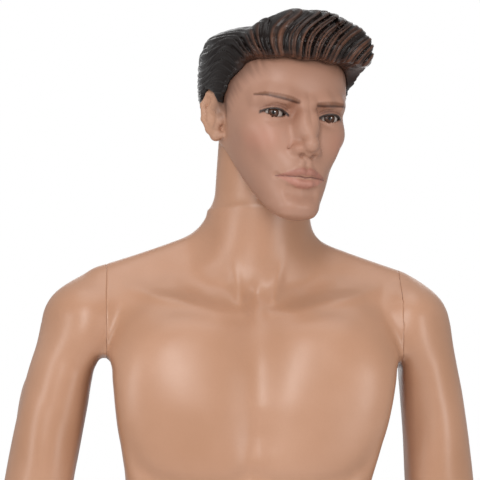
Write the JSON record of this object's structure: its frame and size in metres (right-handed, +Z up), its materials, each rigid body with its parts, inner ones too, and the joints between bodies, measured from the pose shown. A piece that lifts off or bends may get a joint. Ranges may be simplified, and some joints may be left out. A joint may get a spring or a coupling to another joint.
{
  "type": "male display mannequin",
  "caption": "Full-size male display mannequin with a turning head, arms that turn at the shoulders, turning hands and a round steel base with a calf rod.",
  "frame": {"origin": "on the floor, on the underside of the base, below the middle of the ankles", "axes": "+Z up the figure, -Y the way its chest faces, +X towards its left hand"},
  "size_m": [0.5849, 0.38, 1.8728],
  "materials": {
    "skin": "satin sprayed skin tone over moulded plastic",
    "hair": "glossy painted moulded hair",
    "plate": "brushed",
    "steel": "bright zinc plated",
    "rod": "polished",
    "nylon": "natural white nylon",
    "black": "black moulded",
    "mat": "black rubber sheet"
  },
  "bodies": {
    "stand": {"base_mat": "mat", "base_plate": "plate", "rod_hub": "steel", "hub_bolts": "steel", "support_rod": "rod", "calf_socket": "nylon", "hips_and_right_leg_shell": "skin", "left_leg_shell": "skin", "waist_flange_lower": "steel", "waist_flange_upper": "steel", "waist_post": "steel", "waist_flange_screws": "steel", "thigh_flange_lower": "steel", "thigh_flange_upper": "steel", "thigh_post": "steel", "thigh_flange_screws": "steel", "torso_shell": "skin", "neck_pivot_post": "steel", "neck_post_screws": "steel", "neck_retaining_clip": "steel", "right_shoulder_socket": "steel", "left_shoulder_socket": "steel", "right_shoulder_socket_screws": "steel", "left_shoulder_socket_screws": "steel"},
    "head": {"head_shell": "skin", "hair_cap": "hair", "head_swivel_socket": "nylon", "head_socket_screws": "steel"},
    "right_arm": {"right_arm_shell": "skin", "right_shoulder_pivot": "steel", "right_shoulder_pivot_screws": "steel", "right_shoulder_clip": "steel", "right_wrist_socket": "nylon"},
    "left_arm": {"left_arm_shell": "skin", "left_shoulder_pivot": "steel", "left_shoulder_pivot_screws": "steel", "left_shoulder_clip": "steel", "left_wrist_socket": "nylon"},
    "right_hand": {"right_hand": "skin", "right_wrist_peg": "steel"},
    "left_hand": {"left_hand": "skin", "left_wrist_peg": "steel"},
    "lock_knob": {"rod_lock_knob": "black"}
  },
  "joints": [
    {"name": "head_turn", "type": "hinge", "parent": "stand", "child": "head", "pos_m": [0.01247, -0.00271, 1.73361], "axis": [0.0623, -0.1518, 0.9864], "range_deg": [-80, 40]},
    {"name": "right_shoulder_turn", "type": "hinge", "parent": "stand", "child": "right_arm", "pos_m": [-0.165, 0.008, 1.529], "axis": [-1, 0, 0], "range_deg": [-40, 110]},
    {"name": "left_shoulder_turn", "type": "hinge", "parent": "stand", "child": "left_arm", "pos_m": [0.165, 0.008, 1.529], "axis": [-1, 0, 0], "range_deg": [-40, 110]},
    {"name": "right_wrist_turn", "type": "hinge", "parent": "right_arm", "child": "right_hand", "pos_m": [-0.286, -0.042, 0.955], "axis": [0.0657, 0.338, 0.9389], "range_deg": [-90, 90]},
    {"name": "left_wrist_turn", "type": "hinge", "parent": "left_arm", "child": "left_hand", "pos_m": [0.246, -0.014, 0.955], "axis": [-0.0764, 0.2865, 0.955], "range_deg": [-90, 90]},
    {"name": "lock_knob_turn", "type": "hinge", "parent": "stand", "child": "lock_knob", "pos_m": [-0.099, 0.104, 0.033], "axis": [0, 1, 0], "continuous": true}
  ]
}
